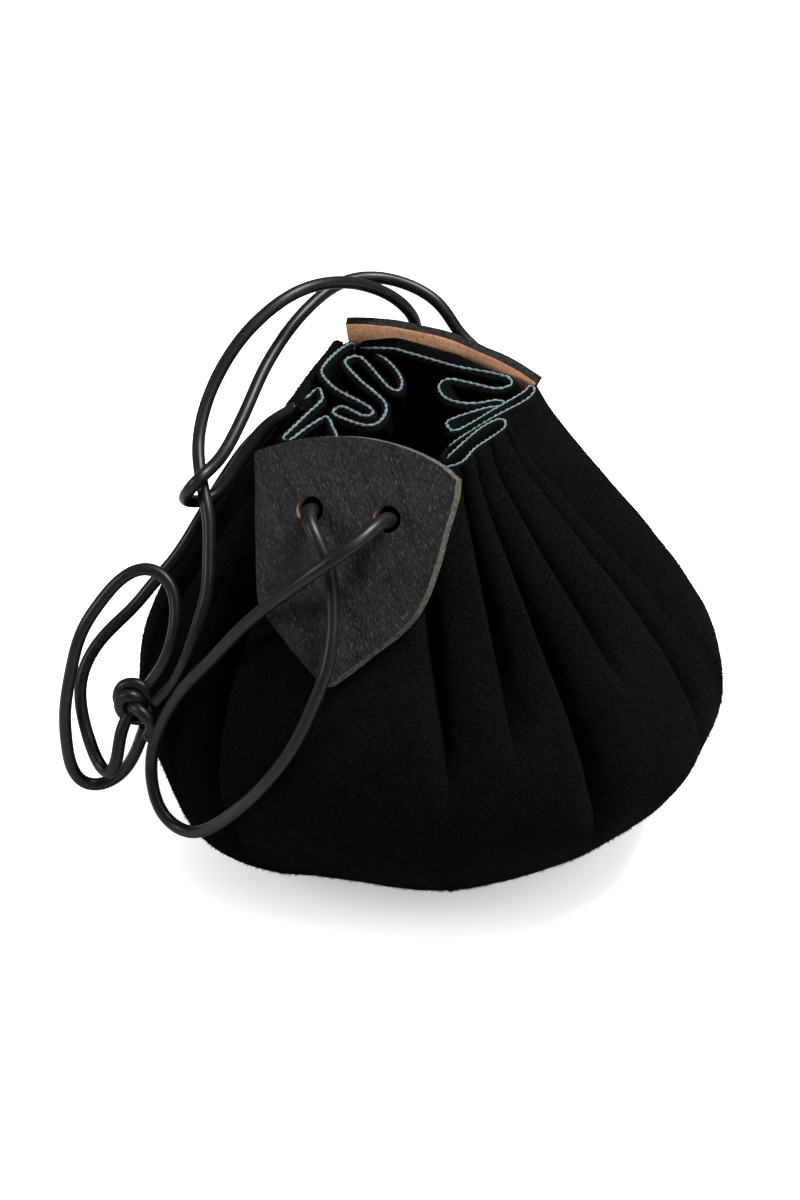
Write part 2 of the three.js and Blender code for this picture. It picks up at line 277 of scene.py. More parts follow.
# The knot's own turns, across, up and towards the viewer from its middle
KNOT_MIDDLE = (-73, -70, 66)
KNOT_TURNS = (
    (5.0, 3.5, -3.5), (1.5, 1.0, -5.0), (-3.2, 0.6, -4.2), (-5.4, 2.4, -1.4), (-5.2, 4.9, 0.8),
    (-3.9, 7.0, 2.0), (-1.0, 7.8, 2.8), (2.1, 6.9, 3.0), (4.1, 4.5, 2.6), (5.1, 1.6, 1.2),
    (5.0, -1.4, -1.2), (3.0, -3.3, -3.4), (0.2, -3.6, -4.0), (-2.6, -2.8, -2.2), (-4.4, -0.8, 0.6),
    (-4.8, 1.8, 2.6), (-3.5, 3.8, 4.0), (-1.0, 4.0, 4.6), (1.4, 2.8, 3.4), (2.6, 0.6, 0.6),
    (1.4, -1.0, -1.4), (-0.8, -0.6, 0.4), (-0.6, 0.6, 3.6), (1.8, -0.8, 5.4), (4.1, -3.0, 5.2),
    (5.3, -5.4, 4.0), (4.8, -8.0, 2.8), (3.7, -9.6, 2.2),
)


def mix(start: Points | float, end: Points | float, share: Points | float) -> Points | float:
    """Returns the value that lies a share of the way from start to end."""
    return start + (end - start) * share


def rise(value: Points, start: float, end: float) -> Points:
    """Returns 0 up to a start, 1 past an end and a straight run between them."""
    return np.clip((value - start) / (end - start), 0, 1)


def past(turn: Points, start: float) -> Points:
    """Returns how far directions lie past another one, from -180 to 180 degrees."""
    return (turn - start + 180) % 360 - 180


def unit(vectors: Points) -> Points:
    """Returns the vectors at a length of one."""
    return vectors / np.maximum(np.linalg.norm(vectors, axis=-1, keepdims=True), 1e-12)


def lengths_along(line: Points) -> Points:
    """Returns the distance of each point of a line from its start."""
    return np.concatenate([[0], np.cumsum(np.linalg.norm(np.diff(line, axis=0), axis=1))])


def read_line(line: Points, along: Points, places: Points) -> Points:
    """Returns the values of a line's columns at places along it."""
    return np.stack([np.interp(places, along, column) for column in line.T], axis=-1)


def evenly(line: Points, step: float) -> Points:
    """Returns the points of a line set out again about a step apart."""
    along = lengths_along(line)
    return read_line(line, along, np.linspace(0, along[-1], max(2, round(along[-1] / step) + 1)))


def curve(first: Points, leave: Points, second: Points, arrive: Points, share: Points) -> Points:
    """Reads a smooth curve from one point to another.

    Args:
        first: Where it starts.
        leave: How it leaves the start.
        second: Where it ends.
        arrive: How it arrives at the end.
        share: How far along it is read, from 0 to 1.

    Returns:
        The curve's points.
    """
    square, cube = share**2, share**3
    return (
        first * (2 * cube - 3 * square + 1)
        + leave * (cube - 2 * square + share)
        + second * (3 * square - 2 * cube)
        + arrive * (cube - square)
    )


def smooth_table(table: Points, places: Points) -> Points:
    """Reads a table of rows between its rows, on smooth curves.

    Args:
        table: One row of values for each whole place.
        places: Where to read it, from 0 to the last row.

    Returns:
        One row of values for each place.
    """
    last = len(table) - 1
    start = np.clip(np.floor(places).astype(int), 0, last - 1)
    before, first = table[np.maximum(start - 1, 0)], table[start]
    second, after = table[start + 1], table[np.minimum(start + 2, last)]
    return curve(first, (second - before) / 2, second, (after - first) / 2, (places - start)[:, None])


def route_curve(route: Points, step: float) -> Points:
    """Runs a smooth centripetal curve through a route's points.

    Args:
        route: The points that the curve passes through.
        step: The distance between the points that it gives.

    Returns:
        Points along the curve, evenly apart.
    """
    ends = np.vstack([2 * route[0] - route[1], route, 2 * route[-1] - route[-2]])
    share = np.linspace(0, 1, 24, endpoint=False)[:, None]
    pieces = []
    for a, b, c, d in zip(ends, ends[1:], ends[2:], ends[3:]):
        before, here, after = (math.sqrt(np.linalg.norm(q - p)) for p, q in ((a, b), (b, c), (c, d)))
        leave = ((b - a) / before - (c - a) / (before + here) + (c - b) / here) * here
        arrive = ((c - b) / here - (d - b) / (here + after) + (d - c) / after) * here
        pieces.append(curve(b, leave, c, arrive, share))
    return evenly(np.vstack([*pieces, route[-1:]]), step)


def rounded_line(corners: list[Points], cuts: tuple[float, ...]) -> Points:
    """Runs a line through corners and rounds the inner ones.

    Args:
        corners: The line's corners, its two ends among them.
        cuts: How far from each inner corner its rounding starts.

    Returns:
        Points along the line.
    """
    points = [corners[0]]
    share = np.linspace(0, 1, 12)[:, None]
    for before, here, after, cut in zip(corners, corners[1:], corners[2:], cuts):
        start, end = here + unit(before - here) * cut, here + unit(after - here) * cut
        points.extend(mix(mix(start, here, share), mix(here, end, share), share))
    return np.array([*points, corners[-1]])


def settled(line: Points, reach: float) -> Points:
    """Evens out the small bends of a line and keeps its ends.

    Args:
        line: Points evenly apart.
        reach: How many points on either side each one is evened with.

    Returns:
        As many points.
    """
    span = round(3 * reach)
    weights = np.exp(-0.5 * (np.arange(-span, span + 1) / reach) ** 2)
    before = 2 * line[0] - line[span:0:-1]
    after = 2 * line[-1] - line[-2 : -span - 2 : -1]
    padded = np.vstack([before, line, after])
    return np.stack([np.convolve(column, weights / weights.sum(), "valid") for column in padded.T], axis=1)


def uneven(points: Points, scale: float, seed: float) -> Points:
    """Works out smooth noise from -1 to 1.

    Args:
        points: The places in millimetres, in any grid.
        scale: The size of its lumps in millimetres.
        seed: Moves the pattern.

    Returns:
        One number for each point, in the same grid.
    """
    flat = points.reshape(-1, 3) / scale
    values = [noise.noise((x + seed, y - seed, z + 2 * seed)) for x, y, z in flat]
    return np.array(values).reshape(points.shape[:-1])


def lumpy(points: Points, lumps: tuple[Lump, ...]) -> Points:
    """Returns the sum of several kinds of unevenness at points in millimetres."""
    return sum(lump.height * uneven(points, lump.size, lump.seed) for lump in lumps)


def new_piece(name: str, points: Points, faces: list[tuple[int, ...]]) -> Object:
    """Makes a smooth mesh object.

    Args:
        name: The piece's name.
        points: Its points in millimetres.
        faces: Its faces as point numbers.

    Returns:
        The object, at the origin and in the scene.
    """
    mesh = bpy.data.meshes.new(name)
    mesh.from_pydata((points * MM).tolist(), [], faces)
    mesh.polygons.foreach_set("use_smooth", [True] * len(mesh.polygons))
    mesh.update()
    piece = bpy.data.objects.new(name, mesh)
    bpy.context.scene.collection.objects.link(piece)
    return piece


def read_points(piece: Object) -> Points:
    """Reads a mesh object's points.

    Args:
        piece: The object.

    Returns:
        The points, one to a row.
    """
    flat = np.empty(len(piece.data.vertices) * 3)
    piece.data.vertices.foreach_get("co", flat)
    return flat.reshape(-1, 3)


def write_points(piece: Object, points: Points) -> None:
    """Moves a mesh object's points."""
    piece.data.vertices.foreach_set("co", points.astype(np.float32).ravel())
    piece.data.update()


def report(piece: Object) -> None:
    """Logs a finished piece."""
    LOG.info("%s: %d faces", piece.name, len(piece.data.polygons))


def ring_faces(rings: int, sides: int, closed: bool = False) -> list[tuple[int, ...]]:
    """Lists the quads between rings of points.

    Args:
        rings: How many rings there are, one after the other.
        sides: How many points each has.
        closed: Whether the last ring joins the first.

    Returns:
        The faces, pointing outwards for rings that turn left along their way.
    """
    faces = []
    for ring in range(rings if closed else rings - 1):
        low, high = ring * sides, (ring + 1) % rings * sides
        for side in range(sides):
            after = (side + 1) % sides
            faces.append((low + side, low + after, high + after, high + side))
    return faces


class NodeKit:
    """Adds and joins nodes in one tree, with short calls."""

    def __init__(self, tree: NodeTree) -> None:
        """Keeps the tree and empties it."""
        self.tree = tree
        tree.nodes.clear()

    def add(self, kind: str, settings: dict | None = None, **inputs: object) -> Node:
        """Adds a node.

        Args:
            kind: The node's type, such as TexNoise.
            settings: The node's own properties.
            **inputs: Values or output sockets, by the input's name with _ for a space.

        Returns:
            The node.
        """
        node = self.tree.nodes.new("ShaderNode" + kind)
        for key, value in (settings or {}).items():
            setattr(node, key, value)
        for key, value in inputs.items():
            self.feed(node.inputs[key.replace("_", " ")], value)
        return node

    def feed(self, socket: Socket, value: object) -> None:
        """Joins an output to a socket, or sets its value.

        Args:
            socket: The input.
            value: An output socket, a number or a row of numbers.
        """
        if isinstance(value, Socket):
            self.tree.links.new(value, socket)
        elif isinstance(value, tuple) and len(value) == 3 and socket.type == "RGBA":
            socket.default_value = (*value, 1)
        else:
            socket.default_value = value

    def sum(self, operation: str, first: object, second: object) -> Socket:
        """Works out a sum with a Math node.

        Args:
            operation: The node's operation.
            first: The first value.
            second: The second value.

        Returns:
            The node's output.
        """
        node = self.add("Math", {"operation": operation})
        self.feed(node.inputs[0], first)
        self.feed(node.inputs[1], second)
        return node.outputs[0]

    def cloud(self, vector: object, scale: object, detail: float, rough: float = 0.5) -> Node:
        """Returns a noise texture's node."""
        return self.add("TexNoise", Vector=vector, Scale=scale, Detail=detail, Roughness=rough)

    def ramp(self, value: object, *stops: tuple[float, Colour]) -> Socket:
        """Reads a colour from a ramp.

        Args:
            value: Where to read it.
            *stops: Two places and their colours.

        Returns:
            The colour.
        """
        node = self.add("ValToRGB", Fac=value)
        for element, (place, colour) in zip(node.color_ramp.elements, stops):
            element.position = place
            element.color = (*colour, 1)
        return node.outputs["Color"]

    def blend(self, share: object, first: object, second: object) -> Socket:
        """Mixes two colours.

        Args:
            share: The second colour's share.
            first: The first colour.
            second: The second colour.

        Returns:
            The mixed colour.
        """
        node = self.add("Mix", {"data_type": "RGBA"})
        for number, value in ((0, share), (6, first), (7, second)):
            self.feed(node.inputs[number], value)
        return node.outputs[2]

    def spread(self, value: object, low: float, high: float, start: float, end: float) -> Socket:
        """Returns a value taken from low and high over to start and end."""
        node = self.add("MapRange", Value=value, From_Min=low, From_Max=high, To_Min=start, To_Max=end)
        return node.outputs["Result"]


def new_material(name: str) -> tuple[Material, NodeKit]:
    """Makes a material.

    Args:
        name: The material's name.

    Returns:
        The material and a kit for its nodes.
    """
    material = bpy.data.materials.new(name)
    material.use_nodes = True
    return material, NodeKit(material.node_tree)


class EffectGroup:
    """A shader node group with named inputs and outputs, built once."""

    def __init__(self, name: str, inputs: dict[str, float], outputs: tuple[str, ...]) -> None:
        """Makes the group and its sockets, a Vector input first.

        Args:
            name: The group's name.
            inputs: The starting value of each number that it takes, by its name.
            outputs: The names of its values.
        """
        self.tree = bpy.data.node_groups.new(name, "ShaderNodeTree")
        self.kit = NodeKit(self.tree)
        self.tree.interface.new_socket("Vector", in_out="INPUT", socket_type="NodeSocketVector")
        for key, value in inputs.items():
            socket = self.tree.interface.new_socket(key, in_out="INPUT", socket_type="NodeSocketFloat")
            socket.default_value = value
        for key in outputs:
            self.tree.interface.new_socket(key, in_out="OUTPUT", socket_type="NodeSocketFloat")
        self.inputs = self.tree.nodes.new("NodeGroupInput").outputs
        self.outputs = self.tree.nodes.new("NodeGroupOutput").inputs

    def give(self, **outputs: Socket) -> None:
        """Joins values to the group's outputs."""
        for key, value in outputs.items():
            self.kit.feed(self.outputs[key], value)

    def place(self, kit: NodeKit, **inputs: object) -> Node:
        """Puts a copy of the group in a material's tree.

        Args:
            kit: The material's nodes.
            **inputs: The copy's own values, by the input's name.

        Returns:
            The copy's node.
        """
        node = kit.tree.nodes.new("ShaderNodeGroup")
        node.node_tree = self.tree
        for key, value in inputs.items():
            kit.feed(node.inputs[key], value)
        return node


def fibre_group() -> EffectGroup:
    """Builds the group for napped and raw leather: short fibres and brushed patches.

    Returns:
        The group, with Tone and Height.
    """
    group = EffectGroup("Fibres", {"Scale": 1200.0, "Patch": 60.0}, ("Tone", "Height"))
    kit, given = group.kit, group.inputs
    fine = kit.cloud(given["Vector"], given["Scale"], 5.0, 0.7).outputs[0]
    patch = kit.cloud(given["Vector"], given["Patch"], 3.0, 0.55).outputs[0]
    tone = kit.sum("ADD", kit.sum("MULTIPLY", fine, 0.9), kit.sum("MULTIPLY", patch, 0.1))
    group.give(Tone=tone, Height=fine)
    return group


def grain_group() -> EffectGroup:
    """Builds the group for smooth leather: fine pores and thin, wandering creases.

    Returns:
        The group, with Tone, Crease and Height.
    """
    group = EffectGroup("Grain", {"Pores": 900.0, "Creases": 260.0}, ("Tone", "Crease", "Height"))
    kit, given = group.kit, group.inputs
    place = given["Vector"]
    wander = kit.cloud(place, kit.sum("MULTIPLY", given["Creases"], 0.05), 1.0)
    swung = kit.add("VectorMath", {"operation": "MULTIPLY_ADD"})
    for number, value in enumerate((wander.outputs["Color"], (0.0045, 0.0022, 0.0022), place)):
        kit.feed(swung.inputs[number], value)
    pores = kit.add("TexVoronoi", {"feature": "F1"}, Vector=place, Scale=given["Pores"])
    tone = kit.cloud(place, kit.sum("MULTIPLY", given["Creases"], 0.18), 3.0)
    lines = kit.cloud(swung.outputs[0], given["Creases"], 3.0, 0.6).outputs[0]
    deep, fine = kit.sum("MULTIPLY", lines, 1.4), kit.sum("MULTIPLY", pores.outputs[0], 0.3)
    group.give(
        Tone=tone.outputs[0],
        Crease=kit.spread(lines, 0.54, 0.68, 0.0, 1.0),
        Height=kit.sum("SUBTRACT", fine, deep),
    )
    return group


@dataclass(frozen=True)
class Finish:
    """What the leather finishes share: a name, a bump and a gloss."""

    name: str
    bump: float
    bump_mm: float
    specular: float

    def shade(self, kit: NodeKit, height: Socket, **inputs: object) -> None:
        """Adds the shader and its bump to a material.

        Args:
            kit: The material's nodes.
            height: The height that the bump is made from.
            **inputs: What else the shader takes.
        """
        bump = kit.add("Bump", Strength=self.bump, Distance=self.bump_mm * MM, Height=height).outputs[0]
        shader = kit.add(
            "BsdfPrincipled", Metallic=0.0, Specular_IOR_Level=self.specular, Normal=bump, **inputs
        )
        kit.add("OutputMaterial", Surface=shader.outputs[0])


@dataclass(frozen=True)
class FibreFinish(Finish):
    """A napped or raw leather surface, with colours from its low fibres to its tips."""

    low: Colour
    high: Colour
    scale: float
    patch: float
    sheen: float
    sheen_tint: Colour
    sheen_roughness: float = 0.5
    # How far the painted shade darkens the colour towards black, 0 for none
    shaded: float = 0

    def material(self, fibres: EffectGroup) -> Material:
        """Makes the material.

        Args:
            fibres: The group for fibres.

        Returns:
            The material, with painted shade in the valleys and the inside where shaded is set.
        """
        material, kit = new_material(self.name)
        place = kit.add("TexCoord").outputs["Object"]
        nap = fibres.place(kit, Vector=place, Scale=self.scale, Patch=self.patch).outputs
        colour = kit.ramp(nap["Tone"], (0.36, self.low), (0.64, self.high))
        # Painted shade: the colour is blended towards black by the attribute times shaded
        if self.shaded:
            painted_shade = kit.add("Attribute", {"attribute_name": PAINTED_SHADE}).outputs["Fac"]
            colour = kit.blend(kit.sum("MULTIPLY", painted_shade, self.shaded), colour, (0.0, 0.0, 0.0))
        rough = kit.spread(nap["Tone"], 0.3, 0.7, 1.0, 0.86)
        self.shade(
            kit, nap["Height"], Base_Color=colour, Roughness=rough, Sheen_Weight=self.sheen,
            Sheen_Roughness=self.sheen_roughness, Sheen_Tint=self.sheen_tint,
        )
        return material


@dataclass(frozen=True)
class GrainFinish(Finish):
    """A smooth dyed leather surface with pores and lighter creases, whose colour is given by crease."""

    deep: Colour
    light: Colour
    # The creases' colour; on the tab it is partly the grain's own lighter creases and partly painted glints
    crease: Colour
    pores: float
    creases: float
    shine: Span
    turn: float = 0.0
    stretch: float = 1.0

    def material(self, grain: EffectGroup) -> Material:
        """Makes the material.

        Args:
            grain: The group for grain.

        Returns:
            The material, which follows the piece's UV map.
        """
        material, kit = new_material(self.name)
        turned = kit.add("Mapping", {"vector_type": "TEXTURE"}, Vector=kit.add("TexCoord").outputs["UV"])
        kit.feed(turned.inputs["Rotation"], (0, 0, self.turn))
        kit.feed(turned.inputs["Scale"], (1, self.stretch, 1))
        skin = grain.place(kit, Vector=turned.outputs[0], Pores=self.pores, Creases=self.creases).outputs
        base = kit.ramp(skin["Tone"], (0.3, self.deep), (0.7, self.light))
        # The crease colour is blended in over the creases; on the tab it is partly painted glints
        colour = kit.blend(skin["Crease"], base, self.crease)
        rough = kit.spread(skin["Tone"], 0.3, 0.7, *self.shine)
        self.shade(kit, skin["Height"], Base_Color=colour, Roughness=rough)
        return material


# The suede's colour takes painted shade, up to 0.9 of the way to black, in its valleys and inside
SUEDE = FibreFinish(
    name="black_suede", low=(0.0004, 0.00042, 0.0004), high=(0.0043, 0.0049, 0.0045), scale=1500, patch=60,
    bump=0.7, bump_mm=0.5, sheen=0.003, sheen_tint=(0.75, 0.75, 0.72), specular=0.004, shaded=0.9,
)
RIM_FIBRE = FibreFinish(
    name="pale_edge_fibre", low=(0.022, 0.036, 0.041), high=(0.15, 0.2, 0.215), scale=1600, patch=160,
    bump=0.4, bump_mm=0.2, sheen=0.03, sheen_tint=(0.8, 0.9, 0.95), specular=0.1,
)
FLESH = FibreFinish(
    name="brown_flesh_side", low=(0.72, 0.3, 0.15), high=(0.97, 0.6, 0.37), scale=900, patch=160, bump=0.35,
    bump_mm=0.3, sheen=0.05, sheen_tint=(0.9, 0.7, 0.6), specular=0.1,
)
RAW_EDGE = FibreFinish(
    name="raw_leather_edge", low=(0.007, 0.007, 0.006), high=(0.1, 0.097, 0.076), scale=800, patch=300,
    bump=0.5, bump_mm=0.3, sheen=0.03, sheen_tint=(0.8, 0.8, 0.7), specular=0.1,
)
DARK_EDGE = FibreFinish(
    name="dyed_leather_edge", low=(0.002, 0.002, 0.002), high=(0.016, 0.015, 0.014), scale=800, patch=260,
    bump=0.6, bump_mm=0.4, sheen=0.015, sheen_tint=(0.8, 0.8, 0.8), specular=0.05,
)
HOLE_RIM = FibreFinish(
    name="cut_hole_rim", low=(0.06, 0.032, 0.02), high=(0.24, 0.14, 0.09), scale=900, patch=300, bump=0.4,
    bump_mm=0.2, sheen=0.02, sheen_tint=(0.9, 0.7, 0.6), specular=0.1,
)
# Its bright creases are partly the grain's own lighter creases and partly painted glints
TAB_LEATHER = GrainFinish(
    name="black_grain_leather", deep=(0.0008, 0.0009, 0.0009), light=(0.0042, 0.0043, 0.0042),
    crease=(0.036, 0.036, 0.034), pores=1500, creases=3300, turn=0.5, stretch=6.0, shine=(0.54, 0.42),
    bump=0.8, bump_mm=0.3, specular=0.13,
)
CORD_LEATHER = GrainFinish(
    name="satin_cord_leather", deep=(0.0025, 0.0027, 0.003), light=(0.006, 0.0062, 0.0066),
    crease=(0.009, 0.0095, 0.01), pores=1800, creases=500, shine=(0.42, 0.34), bump=0.16, bump_mm=0.1,
    specular=0.18,
)


@dataclass
class Tab:
    """A shield of thick leather with two cord holes, bent round the bag."""

    name: str
    place: TabPlace
    width: float = 65
    arch: float = 8
    side: float = 46
    low_width: float = 50
    length: float = 69
    side_right: float = 43.5
    low_right: float = 26
    corner_cuts: tuple[float, float, float] = (5, 4, 12)
    slant_right: float = 1.9
    slant_low: float = 0.8
    slant_top: float = 0.5
    corner_worn: float = 1.5
    worn_way: Span = (0.8, 0.6)
    worn_reach: float = 4.5
    curl: float = 0
    curl_reach: float = 20
    curl_span: Span = (-7, 13)
    thickness: float = 3.6
    bend: float = 120
    hole_radius: float = 4.25
    hole_spacing: float = 24
    hole_drop: float = 15.5
    hole_rim: float = 1.2
    columns: int = 72
    rows: int = 76
    edge_round: float = 0.55
    hand_cut: float = 0.35
    seat_gap: float = 0.75
    seat_margin: float = 18
    seat_ease: float = 0.6
    lumps: tuple[Lump, ...] = (Lump(0.4, 17, 5.3), Lump(0.15, 5, 1.9))
    piece: Object | None = None

    @property
    def matrix(self) -> Matrix:
        """The tab's place.

        Returns:
            The matrix that sets the flat tab in place, in millimetres.
        """
        return (
            Matrix.Translation(self.place[:3])
            @ Matrix.Rotation(math.radians(self.place.turn), 4, "Z")
            @ Matrix.Rotation(math.radians(90 - self.place.lean), 4, "X")
            @ Matrix.Rotation(math.radians(self.place.roll), 4, "Z")
        )

    def half_width(self, drop: Points) -> Points:
        """Works out half the tab's width.

        Args:
            drop: Distances below the tab's top corners.

        Returns:
            Half the width at each of them.
        """
        upper = mix(self.width, self.low_width, drop / self.side) / 2
        lower = mix(self.low_width, 0, (drop - self.side) / (self.length - self.side)) / 2
        return np.minimum(upper, np.maximum(lower, 0))

    def placed(self, local: Points) -> Points:
        """Bends the flat tab about an upright axis behind it and puts it in place.

        Args:
            local: Points of the flat tab: across, up and out.

        Returns:
            The points in the pouch's frame, in millimetres.
        """
        angle, radius = local[..., 0] / self.bend, self.bend + local[..., 2]
        bent = np.stack([radius * np.sin(angle), local[..., 1], radius * np.cos(angle) - self.bend], axis=-1)
        return bent @ np.array(self.matrix.to_3x3()).T + np.array(self.matrix.translation)

    def seat(self, points: Points, wall: float) -> Points:
        """Presses the bag's middle layer back behind the tab.

        Args:
            points: Points of the bag in millimetres.
            wall: The suede's thickness.

        Returns:
            The points, moved where they lay too far out.
        """
        local = (points - np.array(self.matrix.translation)) @ np.array(self.matrix.to_3x3())
        sideways, up, depth = local[..., 0], local[..., 1], local[..., 2] + self.bend
        across = self.bend * np.arctan2(sideways, depth)
        out = np.hypot(sideways, depth) - self.bend
        beside = np.maximum(0, np.abs(across) - self.half_width(np.clip(-up, 0, self.length)))
        beyond = np.maximum(0, np.maximum(up - self.arch, -self.length - up))
        clear = np.maximum(0, np.hypot(beside, beyond) - self.seat_margin)
        limit = -wall / 2 - self.seat_gap + self.seat_ease * clear
        pressed = self.placed(np.stack([across, up, limit], axis=-1))
        return np.where((out > limit)[..., None], pressed, points)

    def outline(self, share_across: Points, share_down: Points) -> Points:
        """Maps a square onto the shield, whose lower edge takes both sides of its point.

        Args:
            share_across: From 0 at the left edge to 1 at the right.
            share_down: From 0 at the arched top to 1 at the point.

        Returns:
            Flat points of the tab.
        """
        half, centred = self.width / 2, 2 * share_across - 1
        top = np.stack([centred * half, self.arch * (1 - centred**2)], -1)
        corner_left, corner_right = np.array((-half, 0.0)), np.array((half, 0.0))
        foot_left = np.array((-self.low_width / 2, -self.side))
        foot_right = np.array((self.low_right, -self.side_right))
        low_left = foot_left + unit(corner_left - foot_left) * self.corner_cuts[0]
        low_right = foot_right + unit(corner_right - foot_right) * self.corner_cuts[2]
        corners = [low_left, foot_left, np.array((0.0, -self.length)), foot_right, low_right]
        edge = rounded_line(corners, self.corner_cuts)
        along = lengths_along(edge)
        point = along[np.argmin(edge[:, 1])]
        bottom = read_line(edge, along, np.interp(share_across, (0, 0.5, 1), (0, point, along[-1])))
        across, down = share_across[..., None], share_down[..., None]
        left, right = mix(corner_left, low_left, down), mix(corner_right, low_right, down)
        straight = mix(mix(corner_left, corner_right, across), mix(low_left, low_right, across), down)
        flat = mix(top, bottom, down) + mix(left, right, across) - straight
        from_corner = np.linalg.norm(flat - corner_right, axis=-1, keepdims=True)
        worn = self.corner_worn * np.exp(-((from_corner / self.worn_reach) ** 2))
        return np.concatenate([flat - np.array(self.worn_way) * worn, np.zeros_like(across)], axis=-1)

    def slanted(self, flat: Points) -> Points:
        """Draws the outer face in where the knife was held aslant, and curls the top.

        Args:
            flat: Points of the flat tab.

        Returns:
            The points, moved.
        """
        lift = rise(flat[:, 2], 0, self.thickness)
        to_right = rise(flat[:, 0], -self.width / 2, self.width / 2)
        down = rise(flat[:, 1], 0, -self.length)
        moved = flat.copy()
        moved[:, 0] -= self.slant_right * lift * to_right**2
        moved[:, 1] += self.slant_low * self.slant_right * lift * to_right * down**2
        moved[:, 1] -= self.slant_top * lift * (1 - down) ** 2
        moved[:, 2] += self.curl * self.curl_reach * rise(flat[:, 1], *self.curl_span) ** 2
        return moved

    def holes(self) -> list[Span]:
        """Returns the middles of the two cord holes on the flat tab."""
        return [(side * self.hole_spacing / 2, -self.hole_drop) for side in Side]

    def build(self) -> None:
        """Models the tab: a grid shaped to the shield, pierced, thickened, rounded and put in place."""
        bpy.ops.object.select_all(action="DESELECT")
        bpy.ops.mesh.primitive_grid_add(x_subdivisions=self.columns, y_subdivisions=self.rows, size=1)
        self.piece = bpy.context.object
        self.piece.name = self.piece.data.name = f"{self.name}_shield"
        for _ in TabFace:
            self.piece.data.materials.append(None)
        self._shape()
        self._pierce()
        self._thicken()
        self._settle()

    def _shape(self) -> None:
        """Moves the grid's points to the flat shield, with an edge that was cut by hand."""
        points = read_points(self.piece)
        flat = self.outline(points[:, 0] + 0.5, 0.5 - points[:, 1])
        rim = np.maximum(np.abs(points[:, 0]), np.abs(points[:, 1])) * 2
        wobble = self.hand_cut * rise(rim, 0.8, 1)
        flat[:, 0] += wobble * uneven(flat, 9, 3.7 + self.place.x)
        flat[:, 1] += wobble * uneven(flat, 11, 8.1 + self.place.y)
        flat[:, 2] = self.thickness
        write_points(self.piece, flat * MM)

    def _pierce(self) -> None:
        """Deletes the faces in the cord holes and draws the edges left to true circles."""
        radius = self.hole_radius * MM
        cut, edge, eased = 1.02 * radius, 1.6 * radius, 1.9 * radius
        mesh = bmesh.new()
        mesh.from_mesh(self.piece.data)
        for middle in self.holes():
            centre = Vector([size * MM for size in (*middle, self.thickness)])
            inside = [v for v in mesh.verts if (v.co - centre).length < cut]
            bmesh.ops.delete(mesh, geom=inside, context="VERTS")
            for vertex in mesh.verts:
                if vertex.is_boundary and (vertex.co - centre).length < edge:
                    vertex.co = centre + (vertex.co - centre).normalized() * radius
            near = [v for v in mesh.verts if not v.is_boundary and (v.co - centre).length < eased]
            for _ in range(8):
                bmesh.ops.smooth_vert(mesh, verts=near, factor=0.5, use_axis_x=True, use_axis_y=True)
        mesh.to_mesh(self.piece.data)
        mesh.free()

    def _thicken(self) -> None:
        """Gives the sheet its thickness and rounds its cut edges."""
        bpy.context.view_layer.objects.active = self.piece
        wall = self.piece.modifiers.new("thickness", "SOLIDIFY")
        wall.thickness = self.thickness * MM
        wall.offset = -1
        wall.material_offset = TabFace.FLESH
        wall.material_offset_rim = TabFace.EDGE
        bpy.ops.object.modifier_apply(modifier=wall.name)
        rounding = self.piece.modifiers.new("rounding", "BEVEL")
        rounding.width = self.edge_round * MM
        rounding.segments = 3
        rounding.limit_method = "ANGLE"
        rounding.angle_limit = math.radians(50)
        rounding.material = TabFace.EDGE
        bpy.ops.object.modifier_apply(modifier=rounding.name)

    def _settle(self) -> None:
        """Bends the flat tab, puts it in place and marks the faces of its holes and the lie of its grain."""
        mesh, flat = self.piece.data, read_points(self.piece) / MM
        corners = np.array([loop.vertex_index for loop in mesh.loops])
        lie = (flat[corners, :2] * MM).astype(np.float32)
        mesh.uv_layers.active.data.foreach_set("uv", lie.ravel())
        near = (self.hole_radius + self.hole_rim) * MM
        for face in mesh.polygons:
            away = min((face.center.xy - Vector(hole) * MM).length for hole in self.holes())
            if face.material_index == TabFace.EDGE and away < near:
                face.material_index = TabFace.HOLE
        lumps = lumpy(flat, self.lumps)
        flat = self.slanted(flat)
        flat[:, 2] += lumps * (flat[:, 2] > self.thickness / 2)
        write_points(self.piece, self.placed(flat) * MM)
        bpy.ops.object.select_all(action="DESELECT")
        self.piece.select_set(True)
        bpy.context.view_layer.objects.active = self.piece
        bpy.ops.object.shade_smooth_by_angle(angle=math.radians(40))

    def dress(self, faces: dict[TabFace, Material]) -> None:
        """Gives the tab its finishes and sets it in the frame.

        Args:
            faces: The material of each kind of face.
        """
        for face, material in faces.items():
            self.piece.data.materials[face] = material
        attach(self.piece, BODY)
        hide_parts(self.name)


